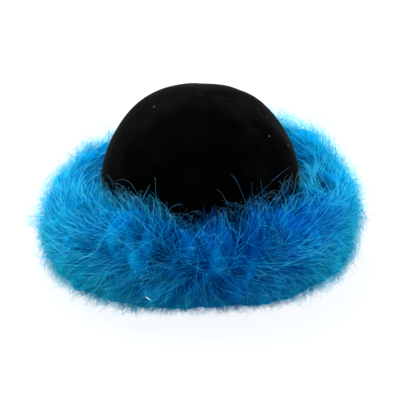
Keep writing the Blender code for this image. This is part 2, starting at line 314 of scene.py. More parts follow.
# %% The velvet's material
def velvet():
    """Near-black cloth with sheen, cloudy pile and a fine bump of about 0.6 mm."""
    made, tree = material("black_cut_pile_velvet")
    spot = (add(tree, "ShaderNodeTexCoord"), "Object")
    clouds = add(tree, "ShaderNodeTexNoise", Vector=spot, Scale=38.0, Detail=4.0, Roughness=0.6)
    pile = add(tree, "ShaderNodeTexNoise", Vector=spot, Scale=1600.0, Detail=2.0)
    ramp = colour_ramp(tree, [(0.35, "#010101"), (0.72, "#060707")], Fac=(clouds, "Fac"))
    bump = add(tree, "ShaderNodeBump", Height=(pile, "Fac"), Strength=0.35, Distance=0.0004)
    shader = add(
        tree,
        "ShaderNodeBsdfPrincipled",
        Base_Color=(ramp, "Color"),
        Roughness=0.95,
        IOR=1.5,
        Specular_IOR_Level=0.008,
        Sheen_Weight=0.036,
        Sheen_Roughness=0.25,
        Sheen_Tint=linear("#c8d4da"),
        Normal=(bump, "Normal"),
    )
    add(tree, "ShaderNodeOutputMaterial", Surface=(shader, "BSDF"))
    return made


VELVET = velvet()
for made in gores.values():
    made.data.materials.append(VELVET)

# %% [markdown]
# How full the boa is
#
# A boa isn't even: it is fuller where its turns overlap, at the back on the right, and it
# flares where it lies on the table, at the front on the left. A short table says so, with
# shares of three sizes, and a number for how squarely the underside settles. A smooth closed
# curve goes through its rows.

# %% Sizes of the boa
TRIM_REACH = 150.0 * MM
TRIM_CREST = 90.0 * MM
TRIM_BELLY = 40.0 * MM
CORD_OUT = 0.30
INNER_WIDTH = 34.0 * MM

FULLNESS = np.array(
    [
        # reach, crest, belly, skirt, one row for each 30 degrees from the right
        (1.02, 1.02, 1.15, 0.82),
        (1.05, 1.06, 1.22, 0.82),
        (1.04, 1.07, 1.20, 0.78),
        (0.96, 1.02, 1.08, 0.78),
        (0.975, 0.90, 1.00, 0.78),
        (1.00, 0.89, 0.98, 0.82),
        (1.02, 0.94, 0.95, 0.86),
        (1.04, 1.02, 0.83, 0.94),
        (1.00, 1.10, 0.88, 0.82),
        (0.95, 1.03, 0.95, 0.62),
        (0.98, 1.08, 0.93, 0.74),
        (1.025, 1.045, 0.95, 0.86),
    ]
)


def fullness(azimuth):
    """Reach, crest, belly and skirt at azimuths (degrees), by a cubic through the rows."""
    place = np.asarray(azimuth, float) % 360.0 / 30.0
    row = np.floor(place).astype(int)
    s = (place - row)[..., None]
    before, here, after, later = (FULLNESS[(row + k) % len(FULLNESS)] for k in (-1, 0, 1, 2))
    square = 2 * before - 5 * here + 4 * after - later
    cube = 3 * (here - after) + later - before
    curve = here + 0.5 * s * (after - before + s * (square + s * cube))
    return curve * np.array([TRIM_REACH, TRIM_CREST, TRIM_BELLY, 1.0])


def cord(azimuth):
    """Radius and height of the boa's cord at azimuths."""
    full = fullness(azimuth)
    return CROWN_RADIUS + CORD_OUT * (full[..., 0] - CROWN_RADIUS), full[..., 2]


def depth(azimuth, angle):
    """How far the down's edge is from the cord, in a direction (degrees) of its cross-section.

    Each quarter of the cross-section is a superellipse: the distance is one over the n-th root
    of (cosine over half width) to the n plus (sine over half height) to the n. n is below two
    on top, where the down slopes, and larger below, where it settles on the table."""
    full = fullness(azimuth)
    reach, crest, belly, skirt = (full[..., k] for k in range(4))
    radius, _ = cord(azimuth)
    c, s = np.cos(np.radians(angle)), np.sin(np.radians(angle))
    wide = np.where(c > 0, reach - radius, INNER_WIDTH)
    high = np.where(s > 0, crest - belly, belly)
    back = np.clip(0.5 + np.sin(np.radians(azimuth)), 0.0, 1.0)
    n = np.where(s > 0, np.where(c > 0, 1.5 + 0.35 * back, 2.0), 1.7 + 6.0 * (skirt - 0.62))
    return ((np.abs(c) / wide) ** n + (np.abs(s) / high) ** n) ** (-1.0 / n)


def directions(azimuth):
    """Unit vectors outwards and round the hat at azimuths."""
    a = np.radians(azimuth)
    zero = np.zeros_like(a)
    return np.stack([np.cos(a), np.sin(a), zero], -1), np.stack([-np.sin(a), np.cos(a), zero], -1)


UP = np.array([0.0, 0.0, 1.0])


def settle(points, clear):
    """Keeps points off the crown and the table.

    A point too close to the velvet moves out along the crown's own radius, which swells and
    sinks from gore to seam. One that is too low is folded up by about a third of what it
    lacks."""
    high = np.maximum(points[..., 2] - DOME_HEIGHT, 0.0)
    middle = points * [1.0, 1.0, 0.0]
    middle[..., 2] = high
    far = np.linalg.norm(middle, axis=-1)
    swell = -PANEL_CROWN * np.cos(4.0 * np.arctan2(points[..., 1], points[..., 0]))
    short = np.maximum(CROWN_RADIUS + swell + clear - far, 0.0)
    points = points + middle * (short / np.maximum(far, 1e-6))[..., None]
    low = clear - points[..., 2]
    points[..., 2] = np.where(low > 0, clear + 0.35 * low, points[..., 2])
    return points


print("cord's girth, mm:", round(2 * math.pi * float(cord(np.arange(360.0))[0].mean()) / MM))

# %% [markdown]
# Barbs
#
# A marabou plume is a short soft quill with long silky barbs on both sides, each barb a
# single fine thread. Each barb is a closed three-sided sliver that tapers to a point, and
# the main barbs of one sixth of the boa are one mesh, its skirt another. On each barb the
# colour map's first coordinate runs from root to tip, and the second gives its tint.


# %% Turn centre lines into slivers
def slivers(name, lines, thickness, tint, seed):
    """Closed three-sided tapering tubes along centre lines.

    lines has one row for each barb, of points from root to tip. At every point but the last
    three corners stand round the line at a third of a turn, on two directions square to it.
    thickness is each barb's radius at the root. The radius falls on the way to the tip by
    three quarters of the share gone to the power of one and a half, and ends in a point."""
    count, stations = lines.shape[:2]
    rings = stations - 1
    along = np.gradient(lines, axis=1)
    along /= np.maximum(np.linalg.norm(along, axis=-1, keepdims=True), 1e-9)
    roll = np.random.default_rng(seed).normal(size=(count, 1, 3))
    one = np.cross(along, roll)
    one /= np.maximum(np.linalg.norm(one, axis=-1, keepdims=True), 1e-9)
    two = np.cross(along, one)
    t = np.linspace(0.0, 1.0, stations)
    radius = thickness[:, None] * (1.0 - 0.75 * t[None, :rings] ** 1.5)
    turn = np.arange(3) * 2 * np.pi / 3
    ring_points = (
        lines[:, :rings, None]
        + radius[..., None, None] * np.cos(turn)[:, None] * one[:, :rings, None]
        + radius[..., None, None] * np.sin(turn)[:, None] * two[:, :rings, None]
    )
    points = np.concatenate([ring_points.reshape(count, -1, 3), lines[:, -1:]], 1)
    each = points.shape[1]
    k, n = np.meshgrid(np.arange(rings - 1), np.arange(3), indexing="ij")
    k, n = k.ravel(), n.ravel()
    after = (n + 1) % 3
    sides = np.stack([3 * k + n, 3 * k + after, 3 * k + 3 + after, 3 * k + 3 + n], 1)
    last, tip = 3 * (rings - 1), each - 1
    point = [[last, last + 1, tip], [last + 1, last + 2, tip], [last + 2, last, tip]]
    ends = np.array(point + [[2, 1, 0]])
    shift = each * np.arange(count)[:, None, None]
    where = np.concatenate([np.repeat(t[:rings], 3), [1.0]])

    def spread(pattern):
        """One barb's faces repeated for all the barbs, with their places on the colour map."""
        faces = (pattern[None] + shift).reshape(-1, pattern.shape[1])
        u = np.broadcast_to(where[pattern][None], (count,) + pattern.shape)
        v = np.broadcast_to(tint[:, None, None], u.shape)
        return faces, 0.02 + 0.96 * np.stack([u, v], -1).reshape(-1, 2)

    (side_faces, side_uv), (end_faces, end_uv) = spread(sides), spread(ends)
    uv = np.concatenate([side_uv, end_uv])
    return piece(name, points.reshape(-1, 3), [side_faces, end_faces], uv)


# %% [markdown]
# How the down lies
#
# Marabou isn't combed, yet it has a lie. The barbs part along a line that runs round the boa
# above its cord, where dark hollows open: above that line they lean up and over towards the
# velvet, and below it they lean out and down. They also lean away from the front on both
# sides, and here and there they turn in a whorl. A field of directions could be painted by
# hand. Here it is a sum of slow waves and a short table of whorls, so it can be read.

# %% The lie of the down
# the parting and the velvet's side in degrees, the radii of both turns in mm
PARTING = 68.0
COMB = 0.45
HAT_TURN = 125.0
DOWN_TURN = 45.0
VELVET_SIDE = (70.0, 100.0)

WHORLS = np.array(
    [
        # azimuth, angle (degrees), radius (mm), twist (turns), eye (mm), hollow (share)
        (351.0, 83.0, 20.0, 0.20, 10.0, 0.30),
        (253.5, 60.0, 12.0, -0.10, 5.0, 0.24),
        (253.0, 36.0, 11.0, 0.25, 4.5, 0.08),
        (262.0, 46.0, 10.0, 0.10, 2.5, 0.12),
        (255.5, 19.0, 9.0, 0.06, 3.5, 0.20),
        (246.0, 15.0, 8.0, -0.06, 3.0, 0.18),
        (241.0, 30.0, 9.0, -0.10, 3.5, 0.20),
        (277.0, 13.0, 10.0, -0.08, 3.5, 0.20),
        (271.5, 50.0, 8.0, 0.08, 2.5, 0.12),
        (284.5, 33.0, 10.0, 0.12, 3.5, 0.20),
        (294.0, 15.0, 11.0, -0.10, 4.0, 0.22),
        (307.0, 66.0, 13.0, 0.12, 2.5, 0.10),
        (228.0, 48.0, 18.0, 0.10, 2.5, 0.08),
        (210.0, 10.0, 16.0, -0.10, 3.0, 0.10),
        (325.0, 20.0, 16.0, 0.12, 3.0, 0.12),
        (26.0, 36.0, 14.0, 0.08, 2.0, 0.18),
        (48.0, 66.0, 18.0, -0.18, 4.0, 0.16),
        (70.0, 10.0, 18.0, 0.15, 3.0, 0.12),
        (100.0, 30.0, 20.0, 0.18, 4.0, 0.16),
        (128.0, 5.0, 18.0, -0.15, 3.0, 0.12),
        (160.0, 55.0, 20.0, -0.18, 4.0, 0.14),
    ]
)

TUFTS = np.array(
    [
        # azimuth, half width (degrees), change of height (share), all on the side of the velvet
        (243.0, 10.0, 0.12),
        (266.0, 6.0, -0.15),
        (278.0, 4.5, 0.09),
        (289.5, 4.0, -0.24),
        (299.0, 7.0, 0.10),
        (321.0, 8.0, -0.06),
        (337.0, 9.0, -0.16),
    ]
)


def from_whorls(azimuth, angle):
    """Millimetres from each whorl: round the hat, round the cross-section, and in all.

    An angle becomes a distance by the radius of its turn, about that of the down's surface."""
    x = np.radians(away(azimuth, WHORLS[:, 0])) * HAT_TURN
    y = np.radians(angle[..., None] - WHORLS[:, 1]) * DOWN_TURN
    return x, y, np.maximum(np.hypot(x, y), 0.5)


def whirl(azimuth, angle):
    """Leads places round the whorls and out of their eyes.

    Seen from a whorl's centre, a distance becomes the root of its square plus the eye's
    square, and a direction turns by the twist. Both fade as the bell curve of the distance
    over the whorl's radius."""
    x, y, far = from_whorls(azimuth, angle)
    fade = bell(far / WHORLS[:, 2])
    turn = 2 * np.pi * WHORLS[:, 3] * fade
    grow = np.hypot(far, WHORLS[:, 4]) / far
    step_x = (grow * (x * np.cos(turn) - y * np.sin(turn)) - x) * fade
    step_y = (grow * (x * np.sin(turn) + y * np.cos(turn)) - y) * fade
    new_azimuth = azimuth + np.degrees(step_x.sum(-1) / HAT_TURN)
    return new_azimuth, angle + np.degrees(step_y.sum(-1) / DOWN_TURN)


def lie(azimuth, angle):
    """How far slow waves carry a tip, in mm, round the hat and round the cross-section."""
    a, t = np.radians(azimuth), np.radians(angle)
    side = 19.0 * np.cos(a) + 4.0 * np.sin(5 * a - 2 * t + 1.1) + 4.0 * np.sin(13 * a + 3 * t)
    up = 4.0 * np.sin(4 * a + t + 0.4) + 3.0 * np.sin(10 * a - 2 * t)
    return side, up


def parting(azimuth):
    """The angle of the cross-section where the barbs part, a wavy line round the boa."""
    a = np.radians(azimuth)
    return PARTING + 6.0 * np.sin(3 * a + 1.0) + 5.0 * np.sin(8 * a)


# bells of painted light and shade: light falls more from behind and the sides than from the front
PAINTED_LIGHT_BELLS = np.array(
    [
        # centre azimuth, half width (degrees): front and right (painted shade), behind (painted
        # light)
        (281.0, 33.0),
        (322.0, 17.0),
        (80.0, 80.0),
    ]
)


def painted_light_of(azimuth, angle, own):
    """The tint, from 0 (deep) to 1 (light), of a barb whose own tint is given, plus painted
    light.

    It is painted shade, deeper, by one bell curve at the front and by another high up on the
    right, and painted light, lighter, by a third behind and low down. At the front only the
    very lowest are lighter."""
    front, right, behind = np.moveaxis(bell(away(azimuth, PAINTED_LIGHT_BELLS[:, 0]) / PAINTED_LIGHT_BELLS[:, 1]), -1, 0)
    high_up = gone(angle, 25.0, 55.0)
    low_down = gone(angle, 25.0, -25.0) * (1.0 - 0.9 * front * gone(angle, -55.0, -20.0))
    # painted shade at the front and high on the right, painted light behind and low down
    tint = own + 0.14 - 0.55 * front - 0.5 * right * high_up + 0.3 * behind + 0.5 * low_down
    return np.clip(tint, 0.0, 1.0)


def in_down(azimuth, angle, share):
    """The point at a share of the way from the cord to the edge of the down.

    The edge rises and falls with the tufts by the velvet, and sinks in the whorls' hollows,
    and the whorls lead places round their eyes."""
    sunk = bell(from_whorls(azimuth, angle)[2] / (0.6 * WHORLS[:, 2]))
    azimuth, angle = whirl(azimuth, angle)
    out, _ = directions(azimuth)
    radius, height = cord(azimuth)
    inner = gone(angle, *VELVET_SIDE)
    tuft = 1.0 + inner * (TUFTS[:, 2] * bell(away(azimuth, TUFTS[:, 0]) / TUFTS[:, 1])).sum(-1)
    size = depth(azimuth, angle) * share * tuft * (1.0 - (WHORLS[:, 5] * sunk).sum(-1))
    a = np.radians(angle)
    far, high = radius + size * np.cos(a), height + size * np.sin(a)
    return far[..., None] * out + high[..., None] * UP


# %% [markdown]
# The down near the cord
#
# Deep between the barbs one never sees the cord, only more down, matted into a soft dense
# mass that the barbs stand out of. A lumpy ring, made by the same rule as the barbs, fills
# that space, so it sinks where they do. Its colour is painted light and shade: lighter on its
# lumps, and darker in the whorls' hollows and next to the velvet, where shade falls.


# %% The ring of down
RING_WAVES = [
    # height (share), turns round the hat, turns round the cross-section
    (0.045, 9, 2),
    (0.04, 23, -3),
    (0.03, 41, 5),
    (0.02, 67, -7),
    (0.015, 38, 11),
]


def down_ring(name, share=0.77, below=0.08, inside=0.08, columns=288, around=48):
    """The down's cross-section at a share of its size, more below and next to the velvet.

    Sine waves with whole numbers of turns both ways round raise and sink it, and are calmer
    below and next to the velvet. Its painted shading, from 0 (deep) to 1 (light), is painted
    light on the waves' lumps and painted shade in the whorls' hollows and next to the velvet.
    The second coordinate of its colour map holds the painted light and shade of painted_light_of."""
    rows = np.arange(columns) * 360.0 / columns
    azimuth, angle = np.meshgrid(rows, np.arange(around) * 360.0 / around - 180.0, indexing="ij")
    a, t = np.radians(azimuth), np.radians(angle)
    waves = sum(height * np.sin(m * a + n * t) for height, m, n in RING_WAVES)
    by_velvet, under = gone(angle, 60.0, 100.0), np.clip(-np.sin(t), 0.0, 1.0) ** 2
    waves = waves * (1.0 - 0.5 * by_velvet - 0.7 * under)
    fuller = below * under + inside * by_velvet
    points = settle(in_down(azimuth, angle, share + fuller + waves), 0.6 * MM).reshape(-1, 3)
    faces = grid_faces(columns, around, True, True)
    hollow = (WHORLS[:, 5] * bell(from_whorls(azimuth, angle)[2] / (0.7 * WHORLS[:, 2]))).sum(-1)
    # painted light on the lumps, painted shade in the hollows and next to the velvet
    painted_shading = 0.5 + 4.0 * waves - 3.5 * hollow - 0.45 * by_velvet
    uv = np.stack([painted_shading, painted_light_of(azimuth, angle, 0.5)], -1).reshape(-1, 2)
    made = piece(name, points, [faces], np.clip(uv, 0.02, 0.98)[faces.ravel()])
    close(made)
    return made


ring = down_ring("marabou_down")
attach(ring, "root")
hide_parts("marabou_trim")

# %% [markdown]
# Tufts of barbs
#
# The barbs of one plume start close together and fan out. So each tuft has a place, a lean
# and a tint of its own, and its barbs scatter about them. Each barb bends by its own amount
# and direction, because down that hangs straight looks like hair.


# %% How much barbs vary
# spread in mm, feet and ends in degrees, tips and heights in shares, climbs and bends as powers
TUFT_SPREAD = 9.0
FOOT_TURN = 1.2
FOOT_ANGLE = 5.0
END_ANGLES = (-92.0, 140.0)
STRAY_TIPS = (1.0, 1.17)
TUFT_HEIGHTS = (0.90, 1.11)
CLIMBS = (0.9, 1.9)
BENDS = (0.8, 1.7)
TUFT_BULGE = 3.6 * MM
BARB_BULGE = 3.4 * MM
BARB_WAVE = 0.7 * MM
BARB_CLEAR = 0.35 * MM


# %% Grow barbs in tufts
def barbs(
    generator,
    tufts,
    each,
    fan=9.0,
    root=(0.25, 0.55),
    tip=(0.72, 1.03),
    stray=0.22,
    carry=1.0,
    curl=1.0,
    stations=4,
):
    """Centre lines of barbs, and each barb's tint.

    tufts gives azimuth, angle and tint of each tuft. The barbs of a tuft start close together
    on the side of the parting, at a share of the way out, and fan out by a bell curve towards
    the tuft's own place plus the lie of the down. On the way the share rises as one minus a
    falling power, so a barb climbs first and then runs along the surface. A share of the
    barbs, called stray, ends past the edge. Half a sine bulges each barb to one side, less so
    near a whorl."""
    azimuth, angle, shade = (np.repeat(part, each) for part in tufts)
    count, plumes = len(azimuth), len(tufts[0])
    side, up = lie(azimuth, angle)
    tuft_turn = np.repeat(generator.normal(0, TUFT_SPREAD, plumes), each)
    tuft_up = np.repeat(generator.normal(0, TUFT_SPREAD, plumes), each)
    loose = 1.0 - 0.45 * gone(angle, *VELVET_SIDE)
    side = carry * side + loose * (tuft_turn + generator.normal(0, fan, count))
    up = carry * up + tuft_up + generator.normal(0, fan, count)
    line = parting(azimuth)
    first_angle = line + COMB * (angle - line) + generator.normal(0, FOOT_ANGLE, count)
    last_angle = np.clip(angle + np.degrees(up / DOWN_TURN), *END_ANGLES)
    first = azimuth + generator.normal(0, FOOT_TURN, count) - 0.3 * np.degrees(side / HAT_TURN)
    last = azimuth + 0.7 * np.degrees(side / HAT_TURN)
    low = generator.uniform(*root, count)
    lift = np.maximum(gone(angle, -60.0, 0.0), 0.25)
    high = np.where(
        generator.uniform(0, 1, count) < stray * lift,
        generator.uniform(*STRAY_TIPS, count),
        generator.uniform(*tip, count),
    )
    high = high * np.repeat(generator.uniform(*TUFT_HEIGHTS, plumes), each)
    power = generator.uniform(*CLIMBS, count)[:, None]
    bend = generator.uniform(*BENDS, count)[:, None]
    t = np.linspace(0.0, 1.0, stations)[None]
    share = low[:, None] + (high - low)[:, None] * (1.0 - (1.0 - t) ** power)
    around = first[:, None] + (last - first)[:, None] * t**bend
    across = first_angle[:, None] + (last_angle - first_angle)[:, None] * t ** (1.0 / bend)
    lines = in_down(around, across, share)
    bulge = np.repeat(generator.normal(0, TUFT_BULGE, (plumes, 3)), each, axis=0)
    bulge = curl * (bulge + generator.normal(0, BARB_BULGE, (count, 3)))
    near = bell(from_whorls(azimuth, angle)[2] / WHORLS[:, 2]).max(-1)
    bulge = bulge * (1.0 - 0.8 * near)[:, None]
    lines = lines + bulge[:, None] * np.sin(np.pi * t)[..., None]
    by_station = np.array([0.0] + [1.0] * (stations - 2) + [1.6])[:, None]
    wave = generator.normal(0, BARB_WAVE, lines.shape) * by_station
    # each barb's own random tint, plus painted light and shade by its place round the boa
    tint = painted_light_of(azimuth, angle, 0.7 * shade + 0.3 * generator.uniform(0, 1, count))
    return settle(lines + wave, BARB_CLEAR), tint


GOLDEN_RATIO = 0.6180339887


def tuft_places(generator, first, last, count, low=-62.0, high=132.0):
    """Evenly scattered tufts: steps of azimuth, and angles by the golden ratio.

    The angle rises with a power a little over one, so tufts are denser low down."""
    step = np.arange(count)
    azimuth = first + (last - first) * (step + generator.uniform(0, 1, count)) / count
    turn = (step * GOLDEN_RATIO + generator.uniform(0, 0.03, count)) % 1.0
    angle = low + (high - low) * turn**1.1
    return azimuth, angle, generator.uniform(0, 1, count)


finishes = [(ring, "matted")]


def thread_piece(name, lines, tint, radius, seed, look):
    """One mesh of barbs that rides on the hat, with radii drawn between two in mm."""
    generator = np.random.default_rng(seed)
    made = slivers(name, lines, generator.uniform(*radius, len(lines)) * MM, tint, seed)
    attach(made, "root")
    finishes.append((made, look))


SKIRT_BARBS = 30
SIXTHS = [
    # piece, first and last azimuth, tufts, barbs in each, tufts of the skirt
    ("marabou_front", 238.0, 302.0, 310, 34, 84),
    ("marabou_right_front", 302.0, 364.0, 260, 34, 66),
    ("marabou_right_back", 4.0, 72.0, 240, 32, 60),
    ("marabou_back", 72.0, 118.0, 140, 32, 42),
    ("marabou_left_back", 118.0, 180.0, 200, 32, 56),
    ("marabou_left_front", 180.0, 238.0, 270, 34, 64),
]
for number, (name, first, last, count, each, below) in enumerate(SIXTHS):
    draw = np.random.default_rng(40 + number)
    lines, tint = barbs(draw, tuft_places(draw, first, last, count), each)
    skirt = barbs(
        draw,
        tuft_places(draw, first, last, below, -88.0, -28.0),
        SKIRT_BARBS,
        fan=10.0,
        root=(0.5, 0.7),
        tip=(0.88, 1.06),
        curl=0.5,
        stations=3,
    )
    thread_piece(name, lines, tint, (0.06, 0.13), 40 + number, "barbs")
    thread_piece(name.replace("marabou", "skirt"), *skirt, (0.08, 0.15), 60 + number, "skirt")

# %% [markdown]
# Long barbs, wisps and lint
#
# Some two thousand barbs are longer than the rest and have sprung loose. They lie over the
# boa in light arcs, and at the front others stand up against the black, where each one shows.
# Bits of down have also settled on the velvet. Without them the boa would look clipped.

# %% Loose barbs
LONG_BARBS = [
    # piece, first and last azimuth, tufts, seed
    ("marabou_long_front", 180.0, 360.0, 540, 71),
    ("marabou_long_back", 0.0, 180.0, 220, 72),
]
for name, first, last, count, seed in LONG_BARBS:
    draw = np.random.default_rng(seed)
    lines, tint = barbs(
        draw,
        tuft_places(draw, first, last, count, -50.0, 120.0),
        3,
        fan=15.0,
        root=(0.6, 0.85),
        tip=(0.96, 1.05),
        stray=0.3,
        carry=2.4,
        curl=0.7,
        stations=6,
    )
    thread_piece(name, lines, tint, (0.14, 0.22), seed, "long")

# %% Single barbs in arcs over the boa
ARC_FOOT = 0.94
ARCS = np.array(
    [
        # foot azimuth, foot angle (degrees), tip azimuth, tip angle, rise, share at the tip
        (213.0, 89.0, 204.0, 68.0, 0.04, 1.04),
        (234.0, 85.0, 219.5, 76.0, 0.05, 1.04),
        (231.5, 72.0, 222.0, 21.0, 0.06, 1.04),
        (229.0, 67.0, 220.5, 13.0, 0.04, 1.04),
        (234.0, 70.0, 222.5, 26.0, 0.08, 1.04),
        (236.0, 78.0, 226.0, 40.0, 0.05, 1.04),
        (228.5, 26.0, 214.0, 8.0, 0.05, 1.04),
        (245.5, 44.0, 236.5, 20.0, 0.05, 1.04),
        (245.5, 17.0, 239.5, -9.0, 0.04, 1.04),
        (244.0, 10.0, 237.5, -14.0, 0.03, 1.04),
        (250.5, 72.0, 242.5, 47.0, 0.06, 1.04),
        (253.5, 60.0, 245.0, 12.0, 0.06, 1.04),
        (256.0, 30.0, 250.0, -8.0, 0.05, 1.04),
        (260.0, 24.0, 257.0, -14.0, 0.04, 1.04),
        (269.5, 60.0, 268.0, 14.0, 0.05, 1.04),
        (271.0, 40.0, 272.5, -10.0, 0.04, 1.04),
        (275.5, 16.0, 282.5, 1.0, 0.05, 1.04),
        (278.0, 62.0, 283.0, 30.0, 0.06, 1.04),
        (287.0, 58.0, 295.0, 18.0, 0.06, 1.04),
        (293.0, 60.0, 299.5, 11.0, 0.06, 1.04),
        (296.0, 63.0, 300.5, 14.0, 0.04, 1.04),
        (296.5, 79.0, 304.5, 70.0, 0.05, 1.04),
        (300.0, 52.0, 309.0, 20.0, 0.05, 1.04),
        (310.0, 60.0, 322.0, 34.0, 0.05, 1.04),
        (330.0, 80.0, 341.0, 52.0, 0.05, 1.04),
        (230.0, -12.0, 222.0, -34.0, 0.03, 1.28),
        (236.0, -20.0, 231.0, -40.0, 0.03, 1.24),
        (222.0, -4.0, 213.0, -22.0, 0.02, 1.26),
        (240.0, -24.0, 238.0, -46.0, 0.02, 1.18),
        (306.0, -10.0, 314.0, -30.0, 0.03, 1.32),
        (303.0, -20.0, 310.0, -36.0, 0.02, 1.30),
        (314.0, -6.0, 321.0, -24.0, 0.03, 1.26),
        (196.0, 20.0, 190.0, 12.0, 0.03, 1.20),
        (203.0, 30.0, 197.0, 30.0, 0.03, 1.14),
        (46.0, 84.0, 41.0, 80.0, 0.02, 1.16),
    ]
)


def arcs():
    """Long single barbs over the boa.

    The angle goes evenly from foot to tip, and the azimuth by the power 1.4 of the share gone,
    so it lags at first. The share of the way out goes evenly too, plus a rise of half a sine."""
    t = np.linspace(0.0, 1.0, 9)[None]
    azimuth = ARCS[:, 0:1] + (ARCS[:, 2:3] - ARCS[:, 0:1]) * t**1.4
    angle = ARCS[:, 1:2] + (ARCS[:, 3:4] - ARCS[:, 1:2]) * t
    share = ARC_FOOT + (ARCS[:, 5:6] - ARC_FOOT) * t + ARCS[:, 4:5] * np.sin(np.pi * t)
    return settle(in_down(azimuth, angle, share), 0.4 * MM), np.ones(len(ARCS))


thread_piece("marabou_arcs", *arcs(), (0.13, 0.20), 75, "long")


# %% Wisps that stand up over the velvet
def over_velvet(azimuth, height, clear):
    """Points off the crown by a distance, at azimuths and heights above the table."""
    rise = np.clip(height - DOME_HEIGHT, 0.0, 0.98 * DOME_RISE) / DOME_RISE
    radius = (CROWN_RADIUS + PANEL_CROWN) * np.sqrt(1.0 - rise**2) + clear
    out, _ = directions(azimuth)
    return radius[..., None] * out + height[..., None] * UP


WISPS = np.array(
    [
        # foot azimuth, foot height (mm), tip azimuth, tip height, arch (mm)
        (236.2, 95.0, 212.6, 103.0, 9.0),
        (229.0, 92.0, 209.0, 97.0, 7.0),
        (245.0, 97.0, 240.8, 121.6, 0.0),
        (236.0, 95.0, 239.4, 113.0, 2.0),
        (297.0, 97.0, 289.5, 124.0, 3.0),
        (299.0, 98.0, 338.0, 109.0, 4.0),
        (288.0, 91.0, 279.3, 114.0, 2.0),
        (300.5, 96.0, 303.0, 115.0, 0.0),
        (308.0, 96.0, 309.5, 114.5, 1.0),
        (325.0, 90.0, 320.0, 107.0, 3.0),
    ]
)
SHORT_WISP_AZIMUTHS = (214.0, 334.0)
SHORT_WISP_FEET = (74.0, 86.0)
SHORT_WISP_LENGTHS = (5.0, 11.0)


def wisps(generator, count, stations=8):
    """Barbs that stand up over the velvet: first the long ones of the table, then short ones.

    A wisp goes evenly from foot to tip in azimuth. Its height rises as one and a half times
    the share less half its cube, plus an arch that is the sine of half a turn. Short ones
    stand higher beside the front than in its middle, and lean away from it."""
    known = len(WISPS)
    foot = np.concatenate([WISPS[:, 0], generator.uniform(*SHORT_WISP_AZIMUTHS, count)])
    beside = gone(np.abs(foot[known:] - 270.0), 0.0, 20.0)
    short_feet = generator.uniform(*SHORT_WISP_FEET, count) + 7.0 * beside
    high = np.concatenate([WISPS[:, 1], short_feet])
    lean = generator.normal(0, 9.0, count) + 0.06 * (foot[known:] - 272.0)
    tip = np.concatenate([WISPS[:, 2], foot[known:] + lean])
    short_tops = high[known:] + generator.uniform(*SHORT_WISP_LENGTHS, count) + 4.0 * beside
    top = np.concatenate([WISPS[:, 3], short_tops])
    arch = np.concatenate([WISPS[:, 4], generator.normal(1.0, 1.0, count)])
    t = np.linspace(0.0, 1.0, stations)[None]
    azimuth = foot[:, None] + (tip - foot)[:, None] * t
    height = high[:, None] + (top - high)[:, None] * (1.5 * t - 0.5 * t**3)
    height = height + arch[:, None] * np.sin(np.pi * t)
    clear = (1.5 + generator.uniform(0.0, 5.0, len(foot))[:, None] * t) * MM
    # the long listed wisps get the lightest tint, painted light; the short ones vary at random
    tint = np.concatenate([np.ones(known), generator.uniform(0, 0.8, count)])
    return over_velvet(azimuth, height * MM, clear), tint


draw = np.random.default_rng(81)
lines, tint = wisps(draw, 240)
thread_piece("marabou_wisps", lines, tint, (0.05, 0.085), 81, "wisp")

# %% Bits of down on the velvet, and a cut quill in the boa
LINT_RADIUS = 80.0
LINT_CLEAR = 0.25 * MM
LINT = np.array(
    [
        # azimuth, height (mm), length (mm), lean (degrees)
        (187.6, 156.7, 1.2, 60.0),
        (358.3, 143.8, 1.3, 20.0),
        (336.8, 137.7, 1.2, 80.0),
        (350.7, 120.0, 1.8, 50.0),
        (60.0, 130.0, 1.5, 40.0),
        (150.0, 120.0, 1.5, 70.0),
    ]
)


def lint():
    """Short straight threads that lie on the velvet, leaning by an angle from level.

    A length round the hat becomes an azimuth by the crown's radius near its top, in mm."""
    t = np.linspace(-0.5, 0.5, 4)[None]
    lean = np.radians(LINT[:, 3:4])
    along = LINT[:, 2:3] * t
    azimuth = LINT[:, 0:1] + np.degrees(along * np.cos(lean) / LINT_RADIUS)
    height = (LINT[:, 1:2] + along * np.sin(lean)) * MM
    return over_velvet(azimuth, height, np.full(height.shape, LINT_CLEAR))


thread_piece("velvet_lint", lint(), np.linspace(0.6, 1, len(LINT)), (0.07, 0.11), 91, "quill")

QUILL = [
    # at the foot, change to the tip: azimuth, angle (degrees), share of the way out
    (250.9, 2.0),
    (-3.0, -4.0),
    (1.06, 0.03),
]
t = np.linspace(0.0, 1.0, 5)[None]
quill = in_down(*(foot + change * t for foot, change in QUILL))
thread_piece("marabou_quill", quill, np.ones(1), (0.45, 0.5), 92, "quill")

# %% [markdown]
# Dyed marabou
#
# Down is keratin, as hair is: thin, half see-through, and without gloss of its own. Light
# from behind passes through it, so the edges of the boa glow pale, and deep down the dye
# filters it again and again, so the hollows turn a dark saturated blue. The colour is lighter
# at the tips than at the roots. The tints and the ring's shading also hold painted light and
# shade, darker in the hollows, and the skirt's barbs and the wisps are painted paler, as
# painted light.


